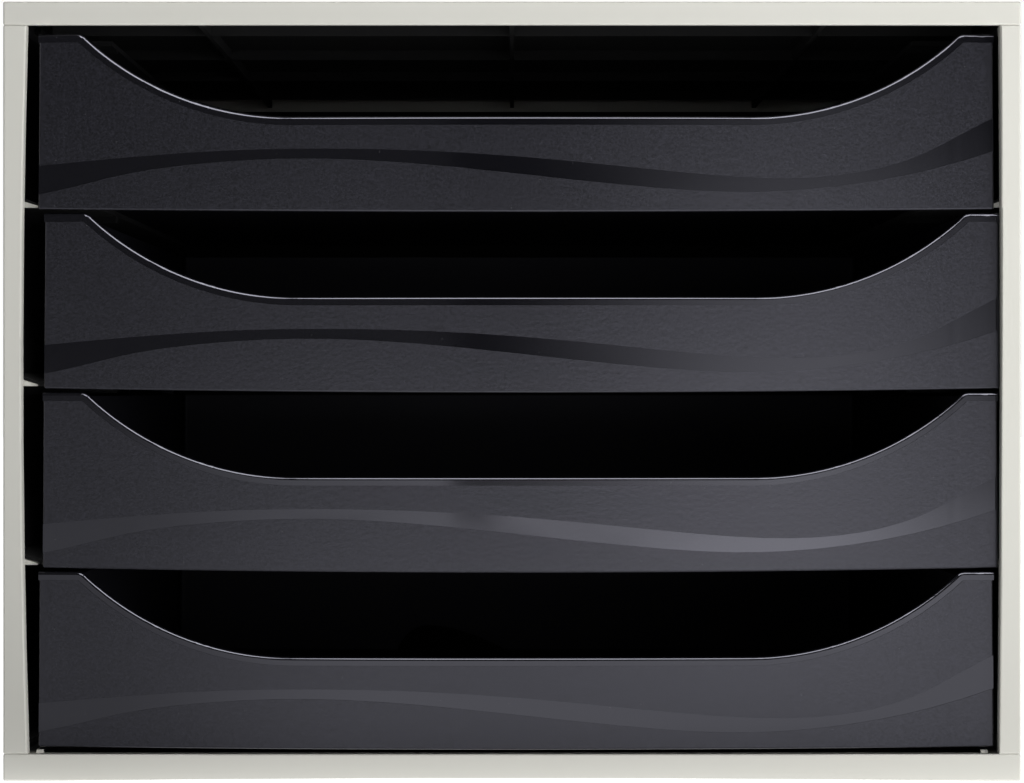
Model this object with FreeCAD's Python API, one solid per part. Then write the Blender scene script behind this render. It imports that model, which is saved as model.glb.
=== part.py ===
# Desktop drawer cabinet for letter-size paper: five moulded panels on four rubber feet make the
# casing, and four one-piece drawers with scooped fronts slide on ledges inside its side panels.
# Millimetres. +Z is up, the drawer fronts face -Y, and the origin is on the desk under the middle.
import FreeCAD, Part
import math
import os

Vector = FreeCAD.Vector

# Casing
case_width = 284.0
case_depth = 381.0          # without the bowed drawer fronts
skin = 2.2                  # wall of the casing's panels
base_band = 7.55            # height of the bottom panel's edge
top_band = 6.55             # height of the top panel's edge
base_arch = 0.85            # rise of the bottom panel's lower edge at its middle
base_arch_inset = 9.0       # from the casing's side to where that arch begins
flange_width = 5.4          # front flange of a side panel, at its narrowest
flange_return = 5.5         # how deep the flange's inner edge runs back
flange_lip = 1.6            # wall of that return
edge_round = 0.5            # outer edges and the seams between panels
fit = 0.15                  # clearance between panels that plug together

# Front flange widths at its top, middle and foot, as shares of flange_width
left_flange_shares = (1.20, 0.93, 1.26)
right_flange_shares = (1.07, 1.00, 1.13)

# Drawers
drawer_count = 4
front_height = 49.2
front_gap = 0.93            # between a front's raised ends and the front above
front_lift = 1.7            # from the bottom panel up to the lowest front
head_gap = 2.11             # from the highest front up to the top panel
side_play = 2.9             # from a centred front to the narrowest flange
front_bow = 9.5             # a front's middle stands this far before its ends
front_proud = 6.0           # a front's middle stands this far before the casing
front_wall = 2.5
front_taper = 0.3           # a front's half width is less by this at its top
front_sag = 1.2             # lower edge bows down by this at its middle
front_corner = 0.6          # rounding of a front's two lower corners
front_edge = 0.5            # rounding of the face's side and lower edges
travel = 290.0              # how far a drawer pulls out before its stops meet

# For each drawer from the top: its sideways rest, of side_play, and the sag of its lower edge, of front_sag
rest_offset_shares = (0.40, 0.94, 0.80, 0.40)
sag_shares = (0.92, 1.0, 0.88, 0.0)

# Scooped top line of a front
scoop_depth = 23.5
scoop_radius = 86.2
scoop_land = 9.8            # from a front's side edge to the scoop, for a scoop in its middle
scoop_offset = 1.3          # the scoop's middle is to the right of the front's
scoop_corner = 3.0          # rounding from the scoop to the raised end
rim_height = 2.55           # smooth band along the top line
rim_overhang = 0.3
rim_round_share = 0.47      # rounding of the top line's edges, of the wall there
relief = 0.25               # depth of the smooth bands below the textured face

# Flowing stripe on a front: heights of its two edges as shares of the front's height, at places
# given as shares of the front's half width
stripe_top_shares = (
    (-1.01, 0.246), (-0.83, 0.289), (-0.62, 0.327), (-0.40, 0.338), (-0.16, 0.321), (0.13, 0.262),
    (0.38, 0.196), (0.55, 0.172), (0.70, 0.200), (0.84, 0.302), (0.94, 0.440), (1.01, 0.535),
)
stripe_foot_shares = (
    (-1.01, 0.080), (-0.91, 0.138), (-0.83, 0.190), (-0.66, 0.255), (-0.47, 0.282), (-0.28, 0.267),
    (0.00, 0.196), (0.26, 0.123), (0.45, 0.093), (0.63, 0.115), (0.84, 0.208), (1.01, 0.343),
)

# Tray behind a front
tray_setback = 9.0          # tray's side wall from the front's side edge
tray_wall = 2.0
tray_floor = 1.8
tray_round = 4.0
tray_drop = 1.2             # from a front's raised ends down to the tray's rim
rim_reach = 5.5             # rim of the tray beyond its side wall
rim_thickness = 1.4
rear_gap = 1.0              # between a shut drawer and the back panel
slide_gap = 0.2             # between a tray's floor and what carries it

# Finger notch at the foot of a tray's rear wall: its arched top line, as shares of its length and height
notch_length = 41.5
notch_height = 9.7
notch_sill = 0.5            # above the tray's floor
notch_left = 43.2           # from the tray's middle to the notch's left end
notch_shares = (
    (0.0, 0.0), (0.05, 0.45), (0.17, 0.90), (0.30, 1.0), (0.45, 0.92), (0.62, 0.72), (0.80, 0.42), (1.0, 0.0),
)

# Ledges and rails that carry the trays
ledge_lift = 2.1            # top of a ledge above its front's lower edge
ledge_thickness = 1.4
ledge_bearing = 8.0         # width of ledge under a tray's floor
ledge_nose = 3.5            # how far the short nose at a ledge's front end shows past the flange
nose_length = 5.0
nose_tip = 0.5              # the nose's thickness at its tip
nose_root = 2.5             # and at the side panel's wall
ledge_taper_share = 0.32    # from a ledge's nose to the stop lug under it, where full width begins
nose_gap = 0.5              # between a shut front's back and the ledge's nose
gusset_height = 2.4
gusset_reach = 5.6
capture_start_share = 0.81  # from the front flange to the lug, where the ledge over the top drawer begins
guide_height = 0.9
guide_width = 1.9
guide_from_side = 8.9       # outer side of a guide rib from the casing's side
guide_setback = 3.2

# Stops: a bump on the tray's rim meets a lug under the ledge above
bump_height = 1.7
bump_length = 6.0
bump_ramp = 3.0
bump_width = 4.0
bump_inset = 0.5
lug_clearance = 1.0         # between a lug and the rim that slides under it
lug_length = 6.0
lug_width = 14.0
stop_clearance = 0.5

# Tongues that join the side panels to the top and bottom panels
tongue_length = 24.0
tongue_thickness = 1.6
tongue_reach = 4.2
tongue_place_shares = (-0.62, 0.0, 0.62)        # along the casing, of its half depth
hook_height = 1.8
hook_reach = 0.8
hook_pocket = 1.0

# Back panel
back_wall = 2.0
back_depth = 10.0
back_rib_depth = 4.0
back_nib = 1.2
back_nib_height = 12.0
back_nib_length = 4.0
back_nib_place_shares = (-0.6, 0.0, 0.6)        # of half the back panel's height

# Stiffening ribs
rib_wall = 1.4
rib_depth = 3.0
rib_inset = 6.0             # ribs stop short of the casing's edge walls
long_rib_shares = (-0.66, 0.0, 0.66)            # across a sheet, of its half width
cross_rib_shares = (-0.75, -0.25, 0.25, 0.75)   # along a sheet, of its half depth
back_post_shares = (-0.5, 0.0, 0.5)             # across the back panel, of its half width
back_rail_shares = (-0.33, 0.33)                # up the back panel, of its half height

# Feet
foot_radius = 8.0
foot_height = 2.4
foot_proud = 0.5
foot_round = 0.6
foot_inset = 24.0           # foot's centre from the casing's sides and ends
foot_rim = 2.0

# Derived levels and places
overrun = skin
touch = edge_round / 100    # how closely two places agree, and how far joined shapes sink together
half_width = case_width / 2
half_depth = case_depth / 2
base_low = foot_proud
base_top = base_low + base_band
drawer_pitch = front_height + front_gap
lowest_front = base_top + front_lift
highest_front = lowest_front + (drawer_count - 1) * drawer_pitch
panel_top = highest_front + front_height + head_gap
case_height = panel_top + top_band
inner_half = half_width - skin
case_middle = front_proud / 2
case_front = case_middle - half_depth
case_rear = case_middle + half_depth
flange_back = case_front + flange_return
back_face = case_rear - back_depth
front_half = half_width - flange_width - side_play
front_face = case_front - front_proud
bow_radius = (front_half ** 2 + front_bow ** 2) / (2 * front_bow)
bow_center = front_face + bow_radius
front_back = bow_center - math.sqrt((bow_radius - front_wall) ** 2 - front_half ** 2)
tray_half = front_half - tray_setback
tray_rear = back_face - rear_gap
tray_base = ledge_lift + slide_gap
tray_height = front_height - tray_drop
rim_half = tray_half + rim_reach
ledge_inner = tray_half - ledge_bearing
ledge_start = front_back + nose_gap
ledge_end = back_face - fit
nose_inner = half_width - flange_width - ledge_nose
bump_front = tray_rear - bump_length
lug_rear = bump_front - travel - stop_clearance
lug_front = lug_rear - lug_length
nose_end = ledge_start + nose_length
ledge_full = nose_end + ledge_taper_share * (lug_front - nose_end)
middle_height = (base_top + panel_top) / 2


def block(x_one, x_two, y_one, y_two, z_one, z_two):
    """A box between two planes along each axis, given in either order."""
    corner = Vector(min(x_one, x_two), min(y_one, y_two), min(z_one, z_two))
    return Part.makeBox(abs(x_two - x_one), abs(y_two - y_one), abs(z_two - z_one), corner)


def chain(points):
    """Straight edges from each point to the next."""
    return [Part.makeLine(start, end) for start, end in zip(points, points[1:])]


def prism(edges, length):
    """A solid pushed out from a closed outline by a vector."""
    return Part.Face(Part.Wire(edges)).extrude(length)


def wedge(points, length):
    """A prism over a polygon."""
    return prism(chain(points + points[:1]), length)


def joined(shapes):
    """One solid from touching or overlapping shapes."""
    return shapes[0].multiFuse(shapes[1:]).removeSplitter()


def edge_points(edge):
    """The two ends and the middle of an edge."""
    middle = (edge.FirstParameter + edge.LastParameter) / 2
    return [edge.valueAt(place) for place in (edge.FirstParameter, middle, edge.LastParameter)]


def edges_where(solid, test):
    """The edges whose ends and middle all pass a test."""
    return [edge for edge in solid.Edges if all(test(point) for point in edge_points(edge))]


def edges_on(solid, line):
    """The edges that lie on a line of edges."""
    return edges_where(solid, lambda point: line.distToShape(Part.Vertex(point))[0] < touch)


def rounded(solid, radius, test):
    """A solid with the edges that pass a test rounded."""
    return solid.makeFillet(radius, edges_where(solid, test))


def same(one, two):
    """Whether two lengths agree."""
    return abs(one - two) < touch


def front_arc(center_x, center_z, radius, start, end, y):
    """An arc in the plane of a drawer's front, between two angles."""
    points = []
    for angle in (start, (start + end) / 2, end):
        points.append(Vector(center_x + radius * math.cos(angle), y, center_z + radius * math.sin(angle)))
    return Part.Arc(*points).toShape()


def top_line(inset, y):
    """The scooped top line of a front from left to right, lowered all along by an inset."""
    radius = scoop_radius + inset
    corner = scoop_corner - inset
    rise = scoop_radius - scoop_depth + scoop_corner
    reach = math.sqrt((scoop_radius + scoop_corner) ** 2 - rise ** 2)
    slope = math.atan2(rise, reach)
    right_angle = math.pi / 2
    level = front_height - inset
    floor = front_height - scoop_depth - inset
    arc_height = front_height - scoop_depth + scoop_radius
    corner_height = front_height - scoop_corner
    left_corner = scoop_offset - front_half + scoop_land
    right_corner = scoop_offset + front_half - scoop_land
    left_arc = left_corner + reach
    right_arc = right_corner - reach
    end = front_half - front_taper + rim_overhang
    flat_left = Vector(left_arc, y, floor)
    flat_right = Vector(right_arc, y, floor)
    return [
        Part.makeLine(Vector(-end, y, level), Vector(left_corner, y, level)),
        front_arc(left_corner, corner_height, corner, right_angle, slope, y),
        front_arc(left_arc, arc_height, radius, slope - math.pi, -right_angle, y),
        Part.makeLine(flat_left, flat_right),
        front_arc(right_arc, arc_height, radius, -right_angle, -slope, y),
        front_arc(right_corner, corner_height, corner, math.pi - slope, right_angle, y),
        Part.makeLine(Vector(right_corner, y, level), Vector(end, y, level)),
    ]


def bow(depth):
    """A solid whose front is the fronts' bowed face moved back by a depth."""
    low = -front_sag - 2 * overrun
    height = front_height + front_sag + 4 * overrun
    return Part.makeCylinder(bow_radius - depth, height, Vector(0, bow_center, low))


def smooth_cut(edges):
    """What is cut away over an outline to leave a smooth band below the textured face."""
    return prism(edges, Vector(0, front_bow + 2 * overrun, 0)).cut(bow(relief))


def front_plate(sag):
    """The bowed front wall: sagging lower edge, overhanging rim, and rounded corners and face edges."""
    y = front_face
    top_half = front_half - front_taper
    lip = top_half + rim_overhang
    shoulder = front_height - rim_height
    right = [
        Vector(lip, y, front_height),
        Vector(lip, y, shoulder),
        Vector(top_half, y, shoulder),
        Vector(front_half, y, 0),
    ]
    left = [
        Vector(-front_half, y, 0),
        Vector(-top_half, y, shoulder),
        Vector(-lip, y, shoulder),
        Vector(-lip, y, front_height),
    ]
    lower = Part.makeLine(right[-1], left[0])
    if sag > touch:
        lower = Part.Arc(right[-1], Vector(0, y, -sag), left[0]).toShape()
    edges = top_line(0, y) + chain(right) + [lower] + chain(left)
    plate = prism(edges, Vector(0, front_bow + front_wall + overrun, 0))
    plate = rounded(plate, front_corner, lambda point: same(abs(point.x), front_half) and same(point.z, 0))
    plate = plate.common(bow(0)).cut(bow(front_wall))

    def is_face_edge(point):
        depth = bow_radius - math.hypot(point.x, point.y - bow_center)
        on_side = abs(point.x) > top_half - touch and point.z < shoulder + touch
        return same(depth, 0) and (on_side or point.z < front_corner)

    face_edges = [edge for edge in edges_where(plate, is_face_edge) if edge.Length > rim_overhang + touch]
    return plate.makeFillet(front_edge, face_edges)


def rim_band():
    """What is cut away along the top line to leave the smooth rim."""
    y = front_face - overrun
    end = front_half + overrun
    line = top_line(rim_height, y)
    first = line[0].valueAt(line[0].FirstParameter)
    last = line[-1].valueAt(line[-1].LastParameter)
    cap = [
        last,
        Vector(end, y, last.z),
        Vector(end, y, front_height + overrun),
        Vector(-end, y, front_height + overrun),
        Vector(-end, y, first.z),
        first,
    ]
    return smooth_cut(line + chain(cap))


def stripe():
    """What is cut away to leave the smooth flowing stripe."""
    y = front_face - overrun
    sides = []
    for shares in (stripe_top_shares, stripe_foot_shares):
        points = [Vector(x * front_half, y, z * front_height) for x, z in shares]
        curve = Part.BSplineCurve()
        curve.interpolate(points)
        sides.append((curve.toShape(), points))
    (top_edge, top_points), (foot_edge, foot_points) = sides
    ends = [
        Part.makeLine(top_points[0], foot_points[0]),
        Part.makeLine(top_points[-1], foot_points[-1]),
    ]
    return smooth_cut([top_edge, ends[1], foot_edge, ends[0]])


def front(sag):
    """The finished front wall: smooth bands below a textured face, and a rounded top edge."""
    wall = front_plate(sag).cut(rim_band())
    line = Part.Wire(top_line(0, front_face))

    def is_rim(point):
        flat = Vector(point.x, front_face, point.z)
        depth = bow_radius - math.hypot(point.x, point.y - bow_center)
        on_line = line.distToShape(Part.Vertex(flat))[0] < touch
        return on_line and (same(depth, relief) or same(depth, front_wall))

    return rounded(wall, rim_round_share * (front_wall - relief), is_rim).cut(stripe())


def tub(half, rear, foot, head, radius):
    """A block from a front's face to the rear, with its foot and rear edges rounded."""
    solid = block(-half, half, front_face, rear, foot, head)

    def is_rounded(point):
        on_side = same(abs(point.x), half)
        on_foot = same(point.z, foot)
        on_rear = same(point.y, rear)
        return (on_side and on_foot) or (on_side and on_rear) or (on_foot and on_rear)

    return rounded(solid, radius, is_rounded)


def stop_bump(side):
    """The bump at the rear of the tray's rim, steep towards the front."""
    x = side * (rim_half - bump_inset)
    points = [
        Vector(x, bump_front, tray_height - touch),
        Vector(x, bump_front, tray_height + bump_height),
        Vector(x, tray_rear - bump_ramp, tray_height + bump_height),
        Vector(x, tray_rear, tray_height - touch),
    ]
    return wedge(points, Vector(-side * bump_width, 0, 0))


def rear_notch():
    """What is cut from a tray's rear wall to leave the finger notch."""
    y = tray_rear + overrun
    low = tray_base + tray_floor + notch_sill
    points = []
    for along, up in notch_shares:
        points.append(Vector(along * notch_length - notch_left, y, low + up * notch_height))
    curve = Part.BSplineCurve()
    curve.interpolate(points)
    edges = [curve.toShape(), Part.makeLine(points[-1], points[0])]
    return prism(edges, Vector(0, -tray_round - overrun, 0))


def tray():
    """The open tray behind the bowed wall, with a rim along its two sides and a stop bump on each."""
    floor = tray_base + tray_floor
    outside = tub(tray_half, tray_rear, tray_base, tray_height, tray_round)
    inside_half = tray_half - tray_wall
    inside = tub(inside_half, tray_rear - tray_wall, floor, tray_height + overrun, tray_round - tray_wall)
    low = tray_height - rim_thickness
    pieces = [outside.cut(inside)]
    for side in (-1, 1):
        rim = block(side * inside_half, side * rim_half, front_face, tray_rear, low, tray_height)
        outer = side * rim_half
        rim = rounded(rim, rim_reach / 2, lambda point: same(point.x, outer) and same(point.y, tray_rear))
        pieces += [rim, stop_bump(side)]
    return joined(pieces).common(bow(front_wall)).cut(rear_notch())


def drawer(index):
    """One drawer, counted from the top, moulded as a front and a tray in one piece."""
    height = highest_front - index * drawer_pitch
    solid = joined([front(sag_shares[index] * front_sag), tray()])
    solid.translate(Vector(rest_offset_shares[index] * side_play, 0, height))
    return solid


def waist(side, shares, inset, y):
    """The bowed inner edge of a side panel's front flange from its top down, or a line beside it."""
    top, middle, foot = [side * (half_width - share * flange_width + inset) for share in shares]
    points = [
        Vector(top, y, panel_top),
        Vector(middle, y, middle_height),
        Vector(foot, y, base_top),
    ]
    return Part.Arc(*points).toShape()


def beside(inner_edge, x, length):
    """A prism between an upright line of a front flange and an upright plane."""
    top, middle, foot = edge_points(inner_edge)
    corners = [foot, Vector(x, foot.y, base_top), Vector(x, top.y, panel_top), top]
    return prism([inner_edge] + chain(corners), Vector(0, length, 0))


def front_flange(side, shares):
    """The visible flange along a side panel's front edge, with a return along its inner edge."""
    solid = beside(waist(side, shares, 0, case_front), side * half_width, flange_return)
    hollow = waist(side, shares, flange_lip, case_front + skin)
    return solid.cut(beside(hollow, side * inner_half, flange_return))


def ledge(side, top):
    """A carrying ledge: a short tapered nose at the front, then its full width, with a gusset over it."""
    wall = side * (inner_half + touch)
    tip = side * nose_inner
    inner = side * ledge_inner
    low = top - ledge_thickness
    plan = [
        Vector(wall, nose_end, low),
        Vector(tip, nose_end, low),
        Vector(inner, ledge_full, low),
        Vector(inner, ledge_end, low),
        Vector(wall, ledge_end, low),
    ]
    nose = [
        Vector(wall, ledge_start, low),
        Vector(tip, ledge_start, low),
        Vector(tip, ledge_start, low + nose_tip),
        Vector(wall, ledge_start, low + nose_root),
    ]
    gusset = [
        Vector(wall, nose_end, top - touch),
        Vector(side * (inner_half - gusset_reach), nose_end, top - touch),
        Vector(wall, nose_end, top + gusset_height),
    ]
    return joined([
        wedge(plan, Vector(0, 0, ledge_thickness)),
        wedge(nose, Vector(0, nose_length + touch, 0)),
        wedge(gusset, Vector(0, ledge_end - nose_end, 0)),
    ])


def capture_ledge(side):
    """The ledge over the top drawer's rim, which only keeps that drawer from tipping."""
    wall = side * (inner_half + touch)
    start = flange_back + capture_start_share * (lug_front - flange_back)
    return block(wall, side * ledge_inner, start, ledge_end, panel_top - ledge_thickness, panel_top)


def stop_lug(side, front_level, underside):
    """The lug under a ledge that the drawer's bump runs against, with a ramp at its front."""
    low = front_level + tray_height + lug_clearance
    x = side * (ledge_inner + touch)
    points = [
        Vector(x, lug_rear, underside + touch),
        Vector(x, lug_rear, low),
        Vector(x, (lug_front + lug_rear) / 2, low),
        Vector(x, lug_front, underside + touch),
    ]
    return wedge(points, Vector(side * lug_width, 0, 0))


def tongue(side, y, level, way):
    """A tongue that stands out of a side panel's end, with a hook that faces outwards."""
    outer = side * (inner_half - fit)
    inner = outer - side * tongue_thickness
    start = y - tongue_length / 2
    tip = level + way * tongue_reach
    hook_root = tip - way * hook_height
    hook = [
        Vector(outer, start, hook_root),
        Vector(outer + side * hook_reach, start, hook_root),
        Vector(outer, start, tip),
    ]
    stem = block(outer, inner, start, start + tongue_length, level - way * touch, tip)
    return stem.fuse(wedge(hook, Vector(0, tongue_length, 0)))


def back_nibs(side):
    """The nibs on a side panel's wall that hold the back panel."""
    nibs = []
    wall = side * (inner_half + touch)
    middle = case_rear - back_depth / 2
    for share in back_nib_place_shares:
        z = middle_height + share * (panel_top - base_top) / 2
        half = back_nib_length / 2 - fit
        reach = side * (inner_half - back_nib)
        tall = back_nib_height / 2 - fit
        nibs.append(block(wall, reach, middle - half, middle + half, z - tall, z + tall))
    return nibs


def side_shell(side, shares):
    """A side panel's wall and front flange, with the outer edges and seams rounded."""
    outer = side * half_width
    wall = block(outer, side * inner_half, case_front, case_rear, base_top, panel_top)

    def is_outer_edge(point):
        on_end = same(point.z, base_top) or same(point.z, panel_top)
        on_outer = same(point.x, outer)
        on_front = same(point.y, case_front)
        on_rear = same(point.y, case_rear)
        return (on_end and (on_outer or on_front)) or (on_outer and (on_front or on_rear))

    shell = joined([wall, front_flange(side, shares)])
    edges = edges_where(shell, is_outer_edge) + edges_on(shell, waist(side, shares, 0, case_front))
    return shell.makeFillet(edge_round, edges)


def side_panel(side, shares):
    """A side panel: shell, end flanges, ledges with lugs, tongues and nibs."""
    pieces = [
        side_shell(side, shares),
        capture_ledge(side),
        stop_lug(side, highest_front, panel_top - ledge_thickness),
    ]
    wall = side * (inner_half + touch)
    end_inner = side * (half_width - flange_width)
    end_front = case_front + skin - touch
    for level, way in ((base_top, 1), (panel_top, -1)):
        pieces.append(block(wall, end_inner, end_front, ledge_end, level, level + way * skin))
        for share in tongue_place_shares:
            pieces.append(tongue(side, case_middle + share * half_depth, level, -way))
    for index in range(drawer_count - 1):
        level = highest_front - index * drawer_pitch
        top = level + ledge_lift
        pieces += [ledge(side, top), stop_lug(side, level - drawer_pitch, top - ledge_thickness)]
    return joined(pieces + back_nibs(side))


def edge_walled_panel(low, high, sheet_low, sheet_high):
    """A flat sheet with an edge wall all round, its outer edges rounded."""
    shell = block(-half_width, half_width, case_front, case_rear, low, high)

    def is_outer_edge(point):
        on_side = same(abs(point.x), half_width)
        on_end = same(point.y, case_front) or same(point.y, case_rear)
        on_face = same(point.z, low) or same(point.z, high)
        return (on_side and on_end) or (on_side and on_face) or (on_end and on_face)

    shell = rounded(shell, edge_round, is_outer_edge)
    open_low = low - overrun
    open_high = sheet_low
    if same(sheet_low, low):
        open_low = sheet_high
        open_high = high + overrun
    inside_front = case_front + skin
    inside_rear = case_rear - skin
    return shell.cut(block(-inner_half, inner_half, inside_front, inside_rear, open_low, open_high))


def hook_pockets(level, way):
    """The pockets in a panel's edge walls that the hooks of both side panels snap into."""
    cuts = []
    root = level + way * (tongue_reach - hook_height - fit)
    tip = level + way * (tongue_reach + fit)
    half = tongue_length / 2 + fit
    for side in (-1, 1):
        wall = side * (inner_half - touch)
        deep = side * (inner_half + hook_pocket)
        for share in tongue_place_shares:
            y = case_middle + share * half_depth
            cuts.append(block(wall, deep, y - half, y + half, root, tip))
    return cuts


def stiffeners(low, high):
    """A grid of ribs across the inside of a sheet."""
    half_x = inner_half - rib_inset
    half_y = half_depth - skin - rib_inset
    ribs = []
    for share in long_rib_shares:
        x = share * half_x
        start = case_middle - half_y
        ribs.append(block(x - rib_wall / 2, x + rib_wall / 2, start, case_middle + half_y, low, high))
    for share in cross_rib_shares:
        y = case_middle + share * half_y
        ribs.append(block(-half_x, half_x, y - rib_wall / 2, y + rib_wall / 2, low, high))
    return ribs


def top_panel():
    """The top panel: a sheet with edge walls down to the side panels, and ribs under it."""
    sheet = case_height - skin
    panel = edge_walled_panel(panel_top, case_height, sheet, case_height)
    ribs = stiffeners(sheet - rib_depth, sheet + touch)
    return joined([panel] + ribs).cut(Part.makeCompound(hook_pockets(panel_top, 1)))


def carrying_rails():
    """The two rails that the lowest tray slides on, their front ends sloped."""
    top = lowest_front + ledge_lift
    rise = top - base_top
    rails = []
    for side in (-1, 1):
        x = side * ledge_inner
        points = [
            Vector(x, ledge_full - rise, base_top - touch),
            Vector(x, ledge_full, top),
            Vector(x, ledge_end, top),
            Vector(x, ledge_end, base_top - touch),
        ]
        rails.append(wedge(points, Vector(side * ledge_bearing, 0, 0)))
    return rails


def guide_ribs():
    """The low ribs beside the rails, seen at both ends of the gap under the lowest front."""
    ribs = []
    top = base_top + guide_height
    start = case_front + guide_setback
    for side in (-1, 1):
        x = side * (half_width - guide_from_side)
        points = [
            Vector(x, start, base_top - touch),
            Vector(x, start + guide_height, top),
            Vector(x, ledge_end, top),
            Vector(x, ledge_end, base_top - touch),
        ]
        ribs.append(wedge(points, Vector(-side * guide_width, 0, 0)))
    return ribs


def foot_places():
    """Where the four feet stand, with the name of each."""
    places = {}
    for end, y in (("front", case_front + foot_inset), ("rear", case_rear - foot_inset)):
        for hand, x in (("left", foot_inset - half_width), ("right", half_width - foot_inset)):
            places[end + "_" + hand + "_foot"] = (x, y)
    return places


def tongue_slots():
    """The slots in the bottom panel's sheet that the side panels' tongues pass through."""
    cuts = []
    half = tongue_length / 2 + fit
    for side in (-1, 1):
        outer = side * inner_half
        inner = outer - side * (tongue_thickness + 2 * fit)
        for share in tongue_place_shares:
            y = case_middle + share * half_depth
            cuts.append(block(outer, inner, y - half, y + half, base_top - skin - touch, base_top + touch))
    return cuts


def arch():
    """What is cut from under the bottom panel's edge walls to arch them."""
    y = case_front - overrun
    half = half_width - base_arch_inset
    ends = [Vector(half, y, base_low - overrun), Vector(-half, y, base_low - overrun)]
    crown = Part.Arc(
        Vector(-half, y, base_low),
        Vector(0, y, base_low + base_arch),
        Vector(half, y, base_low),
    ).toShape()
    sides = chain([Vector(half, y, base_low)] + ends + [Vector(-half, y, base_low)])
    return prism([crown] + sides, Vector(0, case_depth + 2 * overrun, 0))


def bottom_panel():
    """The bottom panel: sheet, edge walls, rails, guide ribs, stiffeners and cups for the feet."""
    sheet = base_top - skin
    panel = edge_walled_panel(base_low, base_top, sheet, base_top).cut(arch())
    cups = []
    recesses = []
    for x, y in foot_places().values():
        cup_height = sheet - base_low
        cups.append(Part.makeCylinder(foot_radius + foot_rim, cup_height + touch, Vector(x, y, base_low)))
        recess = foot_height - foot_proud + overrun
        recesses.append(Part.makeCylinder(foot_radius + fit, recess, Vector(x, y, base_low - overrun)))
    ribs = stiffeners(sheet - rib_depth, sheet + touch)
    solid = joined([panel] + carrying_rails() + guide_ribs() + ribs + cups)
    cuts = recesses + tongue_slots() + hook_pockets(base_top, -1)
    return solid.cut(Part.makeCompound(cuts))


def back_panel():
    """The back panel: a sheet with edge walls towards the rear, ribs, and windows for the nibs."""
    half = inner_half - fit
    low = base_top + fit
    high = panel_top - fit
    shell = block(-half, half, back_face, case_rear, low, high)
    pocket_front = back_face + back_wall
    pocket = block(
        back_wall - half,
        half - back_wall,
        pocket_front,
        case_rear + overrun,
        low + back_wall,
        high - back_wall,
    )
    pieces = [shell.cut(pocket)]
    rib_rear = pocket_front + back_rib_depth
    for share in back_post_shares:
        x = share * half
        pieces.append(block(x - rib_wall / 2, x + rib_wall / 2, pocket_front, rib_rear, low, high))
    for share in back_rail_shares:
        z = middle_height + share * (high - low) / 2
        pieces.append(block(-half, half, pocket_front, rib_rear, z - rib_wall / 2, z + rib_wall / 2))
    windows = []
    middle = case_rear - back_depth / 2
    for side in (-1, 1):
        outer = side * (half + touch)
        inner = outer - side * (back_wall + 2 * touch)
        for share in back_nib_place_shares:
            z = middle_height + share * (panel_top - base_top) / 2
            tall = back_nib_height / 2
            long = back_nib_length / 2
            windows.append(block(outer, inner, middle - long, middle + long, z - tall, z + tall))
    return joined(pieces).cut(Part.makeCompound(windows))


def foot(x, y):
    """A rubber pad, pressed into its cup under the bottom panel."""
    pad = Part.makeCylinder(foot_radius, foot_height, Vector(x, y, 0))
    return rounded(pad, foot_round, lambda point: same(point.z, 0) and not same(point.x, x))


def export(name, shape):
    """Write one piece to its file, as a single solid where the shape holds only one."""
    solid = shape.Solids[0] if len(shape.Solids) == 1 else shape
    solid.exportStep("parts/" + name + ".step")


os.makedirs("parts", exist_ok=True)
export("top_panel", top_panel())
export("bottom_panel", bottom_panel())
export("left_side_panel", side_panel(-1, left_flange_shares))
export("right_side_panel", side_panel(1, right_flange_shares))
export("back_panel", back_panel())
for foot_name, (foot_x, foot_y) in foot_places().items():
    export(foot_name, foot(foot_x, foot_y))
for number in range(drawer_count):
    export("drawer_" + str(number + 1), drawer(number))
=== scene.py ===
import math

import bpy
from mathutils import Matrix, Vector

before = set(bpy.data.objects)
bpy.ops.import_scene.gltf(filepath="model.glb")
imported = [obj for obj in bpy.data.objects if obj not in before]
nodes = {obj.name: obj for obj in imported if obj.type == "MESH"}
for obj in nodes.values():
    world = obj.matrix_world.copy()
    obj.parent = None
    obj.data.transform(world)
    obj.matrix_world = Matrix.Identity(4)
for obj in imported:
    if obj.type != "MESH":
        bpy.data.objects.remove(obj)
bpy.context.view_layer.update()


# The camera
# The photograph is taken straight from the front with a long lens. The casing's front fills the
# picture from side to side.
camera_distance = 1.20
camera_height = 0.1092
casing_front = -0.1875
picture_width = 1024 * 0.000279      # of the plane of the casing's front
camera_data = bpy.data.cameras.new("camera")
camera_data.sensor_width = 36.0
camera_data.lens = 36.0 * camera_distance / picture_width
camera = bpy.data.objects.new("camera", camera_data)
camera.location = (0.0, casing_front - camera_distance, camera_height)
camera.rotation_euler = (math.radians(90), 0, 0)
bpy.context.scene.collection.objects.link(camera)
bpy.context.scene.camera = camera


# The casing
# Five panels of polystyrene, injection moulded in a light warm grey and plugged together. The
# mould is finely sparked, so the outside is an even satin. The inside is painted near black as painted shade.
def linear(colour):
    """An sRGB hex colour as linear red, green, blue and alpha."""
    parts = [int(colour[i:i + 2], 16) / 255 for i in (1, 3, 5)]
    return [p / 12.92 if p <= 0.04045 else ((p + 0.055) / 1.055) ** 2.4 for p in parts] + [1.0]


def new_finish(name):
    """An empty material and its node tree."""
    finish = bpy.data.materials.new(name)
    finish.use_nodes = True
    finish.node_tree.nodes.clear()
    return finish, finish.node_tree


def add(tree, kind, links=None, inputs=None, **settings):
    """A shader node with its settings, its fixed inputs and its links."""
    node = tree.nodes.new(kind)
    for key, value in settings.items():
        setattr(node, key, value)
    for key, value in (inputs or {}).items():
        node.inputs[key].default_value = value
    for key, source in (links or {}).items():
        tree.links.new(source, node.inputs[key])
    return node


casing, tree = new_finish("sparked_grey_polystyrene_painted_shade_inside")
place = add(tree, "ShaderNodeTexCoord").outputs["Object"]
axes = add(tree, "ShaderNodeSeparateXYZ", {0: place})
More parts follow.
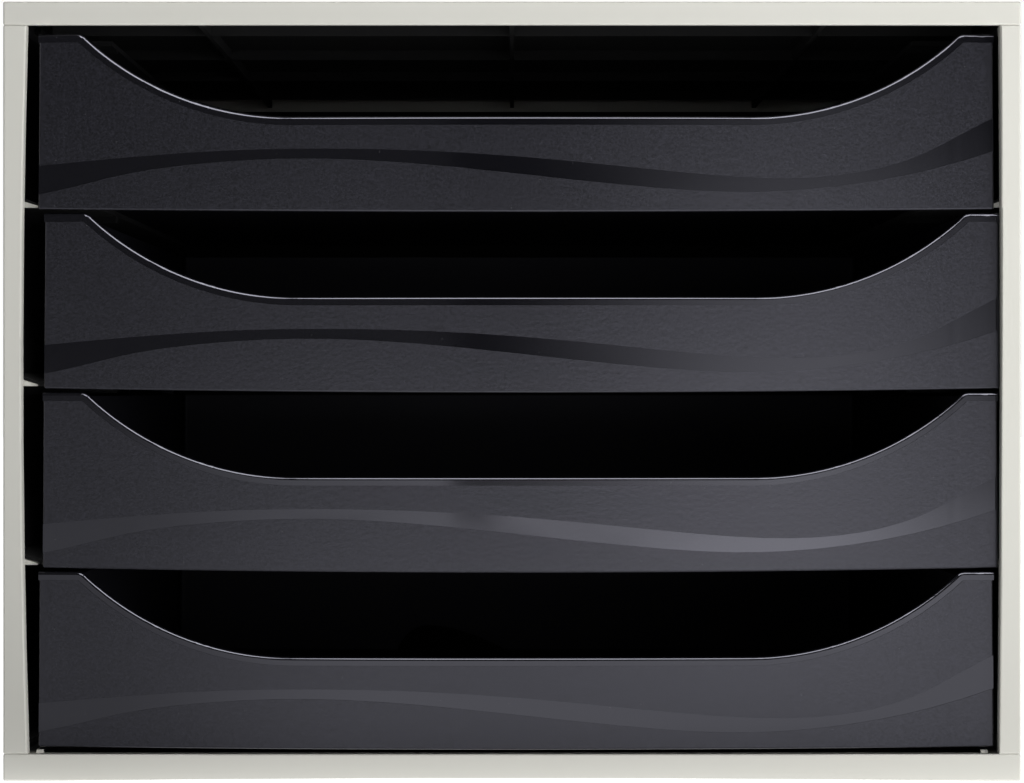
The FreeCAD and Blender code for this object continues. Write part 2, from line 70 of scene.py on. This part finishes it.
# Painted shade: the casing's inside, in metres, from behind the front flanges and the ledges' noses to the
# back panel, is painted near black.
across = add(tree, "ShaderNodeMath", {0: axes.outputs["X"]}, operation="ABSOLUTE")
between = add(tree, "ShaderNodeMath", {0: across.outputs[0]}, {1: 0.13985}, operation="LESS_THAN")
beside = add(tree, "ShaderNodeMath", {0: across.outputs[0]}, {1: 0.1328}, operation="GREATER_THAN")
start = add(tree, "ShaderNodeMapRange", {"Value": beside.outputs[0]}, {"To Min": -0.1818, "To Max": -0.1764})
behind = add(tree, "ShaderNodeMath", {0: axes.outputs["Y"], 1: start.outputs["Result"]},
             operation="GREATER_THAN")
before = add(tree, "ShaderNodeMath", {0: axes.outputs["Y"]}, {1: 0.1838}, operation="LESS_THAN")
above = add(tree, "ShaderNodeMath", {0: axes.outputs["Z"]}, {1: 0.00795}, operation="GREATER_THAN")
below = add(tree, "ShaderNodeMath", {0: axes.outputs["Z"]}, {1: 0.21590}, operation="LESS_THAN")
painted_shade_inside = between
for limit in (behind, before, above, below):
    painted_shade_inside = add(tree, "ShaderNodeMath", {0: painted_shade_inside.outputs[0], 1: limit.outputs[0]}, operation="MULTIPLY")
# Pigment that clouds a little over some 40 mm, as in a large thin moulding.
cloud = add(tree, "ShaderNodeTexNoise", {"Vector": place}, {"Scale": 25.0, "Detail": 2.0})
outer_colour = add(tree, "ShaderNodeMix", {"Factor": cloud.outputs["Fac"]}, {
    "A": linear("#cecdc5"), "B": linear("#d2d1ca"),
}, data_type="RGBA")
# Painted shade: the inside mask turns the grey to near black #070708 there.
colour = add(tree, "ShaderNodeMix", {
    "Factor": painted_shade_inside.outputs[0], "A": outer_colour.outputs["Result"],
}, {"B": linear("#070708")}, data_type="RGBA")
rough = add(tree, "ShaderNodeMapRange", {"Value": painted_shade_inside.outputs[0]}, {"To Min": 0.42, "To Max": 0.9})
# Spark texture of about 0.4 mm, 5 micrometres deep.
grain = add(tree, "ShaderNodeTexNoise", {"Vector": place}, {"Scale": 2500.0, "Detail": 1.0})
bump = add(tree, "ShaderNodeBump", {"Height": grain.outputs["Fac"]}, {"Strength": 1.0, "Distance": 0.000005})
shader = add(tree, "ShaderNodeBsdfPrincipled", {
    "Base Color": colour.outputs["Result"], "Normal": bump.outputs["Normal"],
    "Roughness": rough.outputs["Result"],
}, {"IOR": 1.58})
add(tree, "ShaderNodeOutputMaterial", {"Surface": shader.outputs[0]})
for name in ("top_panel", "bottom_panel", "left_side_panel", "right_side_panel", "back_panel"):
    nodes[name].data.materials[0] = casing


# The feet
# Four soft rubber pads pressed into cups under the bottom panel.
rubber, tree = new_finish("moulded_rubber")
place = add(tree, "ShaderNodeTexCoord").outputs["Object"]
grain = add(tree, "ShaderNodeTexNoise", {"Vector": place}, {"Scale": 1800.0, "Detail": 2.0})
bump = add(tree, "ShaderNodeBump", {"Height": grain.outputs["Fac"]}, {"Strength": 1.0, "Distance": 0.00002})
shader = add(tree, "ShaderNodeBsdfPrincipled", {"Normal": bump.outputs["Normal"]}, {
    "Base Color": linear("#2a2a2a"), "Roughness": 0.75, "IOR": 1.52,
})
add(tree, "ShaderNodeOutputMaterial", {"Surface": shader.outputs[0]})
for name in ("front_left_foot", "front_right_foot", "rear_left_foot", "rear_right_foot"):
    nodes[name].data.materials[0] = rubber


# The drawers
# One-piece mouldings of black polystyrene. The face of each front is finely sparked, and the rim
# and the flowing stripe, 0.25 mm lower, are polished, so they mirror what stands before them.
bow_radius = 0.94558                 # of the face, about an upright axis behind it
bow_center = 0.75208
face_depth = 0.00017                 # the polished bands lie deeper than this, the face doesn't
front_depth = 0.0018                 # and the tray behind lies deeper than this
tray_wall_place = 0.1236             # of a tray's side walls, from the middle
shifts = {"drawer_1": 0.00116, "drawer_2": 0.00273, "drawer_3": 0.00232, "drawer_4": 0.00116}
for name, shift in shifts.items():
    black, tree = new_finish("sparked_black_polystyrene_" + name[-1])
    place = add(tree, "ShaderNodeTexCoord").outputs["Object"]
    # How far a point lies from the bow's axis tells the face, the polished bands and the tray apart.
    local = add(tree, "ShaderNodeVectorMath", {0: place}, {1: (-shift, -bow_center, 0.0)}, operation="ADD")
    flat = add(tree, "ShaderNodeVectorMath", {0: local.outputs[0]}, {1: (1.0, 1.0, 0.0)},
               operation="MULTIPLY")
    reach = add(tree, "ShaderNodeVectorMath", {0: flat.outputs[0]}, operation="LENGTH").outputs["Value"]
    face = add(tree, "ShaderNodeMath", {0: reach}, {1: bow_radius - face_depth},
               operation="GREATER_THAN").outputs[0]
    front = add(tree, "ShaderNodeMath", {0: reach}, {1: bow_radius - front_depth},
                operation="GREATER_THAN").outputs[0]
    # A coarse spark texture of about 1 mm, 14 micrometres deep, on the face only.
    grain = add(tree, "ShaderNodeTexNoise", {"Vector": place}, {"Scale": 900.0, "Detail": 3.0})
    grain_depth = add(tree, "ShaderNodeMath", {0: grain.outputs["Fac"], 1: face}, operation="MULTIPLY")
    # Sink marks, some 4 mm wide, down the front where the tray's side walls stand behind it.
    axes = add(tree, "ShaderNodeSeparateXYZ", {0: place})
    across = add(tree, "ShaderNodeMath", {0: axes.outputs["X"]}, operation="ABSOLUTE")
    off_wall = add(tree, "ShaderNodeMath", {0: across.outputs[0]}, {1: tray_wall_place}, operation="SUBTRACT")
    distance = add(tree, "ShaderNodeMath", {0: off_wall.outputs[0]}, operation="ABSOLUTE")
    sink = add(tree, "ShaderNodeMapRange", {"Value": distance.outputs[0]}, {
        "From Max": 0.0022, "To Min": -0.4, "To Max": 0.0,
    }, interpolation_type="SMOOTHSTEP")
    height = add(tree, "ShaderNodeMath", {0: grain_depth.outputs[0], 1: sink.outputs["Result"]})
    bump = add(tree, "ShaderNodeBump", {"Height": height.outputs[0]}, {"Strength": 1.0, "Distance": 0.000014})
    polish = add(tree, "ShaderNodeMapRange", {"Value": face}, {"To Min": 0.08, "To Max": 0.23})
    rough = add(tree, "ShaderNodeMix", {"Factor": front, "B": polish.outputs["Result"]}, {"A": 0.5})
    # A little dust: specks of up to 0.3 mm, fewer than one to every 9 mm square.
    upright = add(tree, "ShaderNodeCombineXYZ", {"X": axes.outputs["X"], "Y": axes.outputs["Z"]})
    cells = add(tree, "ShaderNodeTexVoronoi", {"Vector": upright.outputs[0]}, {"Scale": 110.0},
                voronoi_dimensions="2D")
    tone = add(tree, "ShaderNodeSeparateXYZ", {0: cells.outputs["Color"]})
    size = add(tree, "ShaderNodeMapRange", {"Value": tone.outputs["X"]}, {
        "From Min": 0.4, "To Min": 0.0, "To Max": 0.016,
    })
    speck = add(tree, "ShaderNodeMath", {0: cells.outputs["Distance"], 1: size.outputs["Result"]},
                operation="LESS_THAN")
    dusty = add(tree, "ShaderNodeMath", {0: speck.outputs[0], 1: front}, operation="MULTIPLY")
    # The face's pigment shows through its grain as pepper of about 0.4 mm.
    pepper = add(tree, "ShaderNodeTexNoise", {"Vector": place}, {"Scale": 1700.0, "Detail": 1.0})
    strength = add(tree, "ShaderNodeMapRange", {"Value": pepper.outputs["Fac"]},
                   {"From Min": 0.3, "From Max": 0.7})
    peppered = add(tree, "ShaderNodeMix", {"Factor": face, "B": strength.outputs["Result"]}, {"A": 0.3})
    plain = add(tree, "ShaderNodeMix", {"Factor": peppered.outputs[0]}, {
        "A": linear("#040405"), "B": linear("#1f1f25"),
    }, data_type="RGBA")
    colour = add(tree, "ShaderNodeMix", {"Factor": dusty.outputs[0], "A": plain.outputs["Result"]}, {
        "B": linear("#4a4a4c"),
    }, data_type="RGBA")
    shader = add(tree, "ShaderNodeBsdfPrincipled", {
        "Base Color": colour.outputs["Result"], "Roughness": rough.outputs["Result"],
        "Normal": bump.outputs["Normal"],
    }, {"IOR": 1.62, "Specular Tint": (0.86, 0.86, 1.0, 1.0)})
    add(tree, "ShaderNodeOutputMaterial", {"Surface": shader.outputs[0]})
    nodes[name].data.materials[0] = black


# The studio
# A pale table that glows as if lit from all round, less on its left, a low soft window far before
# the front's right half, a softbox above that only the polished rims mirror, and two matt lights:
# one to the right for the casing's front and one above for its top and back.
bpy.ops.object.select_all(action="DESELECT")
bpy.ops.mesh.primitive_circle_add(vertices=96, radius=9.0, fill_type="NGON", location=(0, 0, 0))
floor = bpy.context.object
floor.name = "floor"
pale, tree = new_finish("pale_paper_floor")
place = add(tree, "ShaderNodeTexCoord").outputs["Object"]
axes = add(tree, "ShaderNodeSeparateXYZ", {0: place})
# Before the casing the table's glow falls off to the left and close by, as seen from behind the fronts.
depth = add(tree, "ShaderNodeMath", {1: axes.outputs["Y"]}, {0: 0.15}, operation="SUBTRACT")
slope = add(tree, "ShaderNodeMath", {0: axes.outputs["X"], 1: depth.outputs[0]}, operation="DIVIDE")
sideways = add(tree, "ShaderNodeMapRange", {"Value": slope.outputs[0]}, {
    "From Min": -0.36, "From Max": -0.10, "To Min": 0.46, "To Max": 1.18,
}, interpolation_type="SMOOTHSTEP")
close = add(tree, "ShaderNodeMapRange", {"Value": axes.outputs["Y"]}, {
    "From Min": -0.42, "From Max": -0.22, "To Min": 1.0, "To Max": 0.4,
}, interpolation_type="SMOOTHSTEP")
before = add(tree, "ShaderNodeMath", {0: sideways.outputs["Result"], 1: close.outputs["Result"]},
             operation="MULTIPLY")
# Far in front it's brighter again, under the window.
rise = add(tree, "ShaderNodeMapRange", {"Value": slope.outputs[0]}, {
    "From Min": -0.15, "From Max": 0.20, "To Min": 0.18, "To Max": 2.16,
}, interpolation_type="SMOOTHSTEP")
fall = add(tree, "ShaderNodeMapRange", {"Value": slope.outputs[0]}, {
    "From Min": 0.22, "From Max": 0.43, "To Min": 1.0, "To Max": 0.1,
}, interpolation_type="SMOOTHSTEP")
pool = add(tree, "ShaderNodeMath", {0: rise.outputs["Result"], 1: fall.outputs["Result"]},
           operation="MULTIPLY")
far = add(tree, "ShaderNodeMapRange", {"Value": axes.outputs["Y"]}, {
    "From Min": -1.6, "From Max": -0.7, "To Min": 1.0, "To Max": 0.0,
}, interpolation_type="SMOOTHSTEP")
before = add(tree, "ShaderNodeMath", {0: pool.outputs[0], 1: far.outputs["Result"], 2: before.outputs[0]},
             operation="MULTIPLY_ADD")
# Under and behind the casing it's even. The camera sees it evenly white everywhere.
under = add(tree, "ShaderNodeMath", {0: axes.outputs["Y"]}, {1: -0.196}, operation="GREATER_THAN")
path = add(tree, "ShaderNodeLightPath")
even = add(tree, "ShaderNodeMath", {0: under.outputs[0], 1: path.outputs["Is Camera Ray"]},
           operation="MAXIMUM")
glow = add(tree, "ShaderNodeMix", {"Factor": even.outputs[0], "A": before.outputs[0]}, {"B": 1.1})
shader = add(tree, "ShaderNodeBsdfPrincipled", {"Emission Strength": glow.outputs["Result"]}, {
    "Base Color": linear("#8c8c8b"), "Roughness": 0.6, "IOR": 1.45, "Emission Color": (1, 1, 1, 1),
})
add(tree, "ShaderNodeOutputMaterial", {"Surface": shader.outputs[0]})
floor.data.materials.append(pale)

# The window: a glow that fades towards its edges, low in front and to the right. The fronts' polished
# bands mirror it, and the camera doesn't see it.
window_x = 0.78
window_y = -3.0
bpy.ops.object.select_all(action="DESELECT")
bpy.ops.mesh.primitive_plane_add(size=1.0, location=(window_x, window_y, 0.30),
                                 rotation=(math.radians(90), 0, 0))
window = bpy.context.object
window.name = "window"
window.scale = (1.9, 0.6, 1.0)
bpy.ops.object.transform_apply(location=True, rotation=True, scale=True)
window.visible_camera = False
bright, tree = new_finish("window_glow")
place = add(tree, "ShaderNodeTexCoord").outputs["Object"]
from_middle = add(tree, "ShaderNodeVectorMath", {0: place}, {1: (-window_x, -window_y, 0.0)},
                  operation="ADD")
shares = add(tree, "ShaderNodeVectorMath", {0: from_middle.outputs[0]}, {1: (1.08, 0.0, 1.85)},
             operation="MULTIPLY")
reach = add(tree, "ShaderNodeVectorMath", {0: shares.outputs[0]}, operation="LENGTH")
strength = add(tree, "ShaderNodeMapRange", {"Value": reach.outputs["Value"]}, {
    "To Min": 1.64, "To Max": 0.0,
}, interpolation_type="SMOOTHSTEP")
lit = add(tree, "ShaderNodeEmission", {"Strength": strength.outputs["Result"]})
add(tree, "ShaderNodeOutputMaterial", {"Surface": lit.outputs[0]})
window.data.materials.append(bright)


def softbox(name, place, aim, size, power):
    """A rectangular soft light that looks at a point and isn't seen by the camera."""
    data = bpy.data.lights.new(name, "AREA")
    data.shape = "RECTANGLE"
    data.size, data.size_y = size
    data.energy = power
    lamp = bpy.data.objects.new(name, data)
    lamp.location = place
    lamp.rotation_euler = (Vector(aim) - Vector(place)).to_track_quat("-Z", "Y").to_euler()
    lamp.visible_camera = False
    bpy.context.scene.collection.objects.link(lamp)
    return lamp


softbox("fill", (0.95, -0.95, 0.10), (0, -0.19, 0.08), (0.6, 0.18), 11.2).visible_glossy = False
softbox("top", (0, 0.45, 1.1), (0, 0.2, 0), (0.9, 0.9), 13).visible_glossy = False
softbox("rim_light", (0.186, -1.244, 1.31), (0, -0.19, 0.12), (1.04, 0.68), 18).visible_diffuse = False

world = bpy.data.worlds.new("studio")
world.use_nodes = True
world.node_tree.nodes.clear()
path = add(world.node_tree, "ShaderNodeLightPath")
seen = add(world.node_tree, "ShaderNodeBackground", inputs={"Color": (1, 1, 1, 1), "Strength": 1.0})
felt = add(world.node_tree, "ShaderNodeBackground", inputs={"Color": (1, 1, 1, 1), "Strength": 0.071})
mixed = add(world.node_tree, "ShaderNodeMixShader",
            {0: path.outputs["Is Camera Ray"], 1: felt.outputs[0], 2: seen.outputs[0]})
add(world.node_tree, "ShaderNodeOutputWorld", {"Surface": mixed.outputs[0]})
bpy.context.scene.world = world
bpy.context.scene.view_settings.view_transform = "Standard"
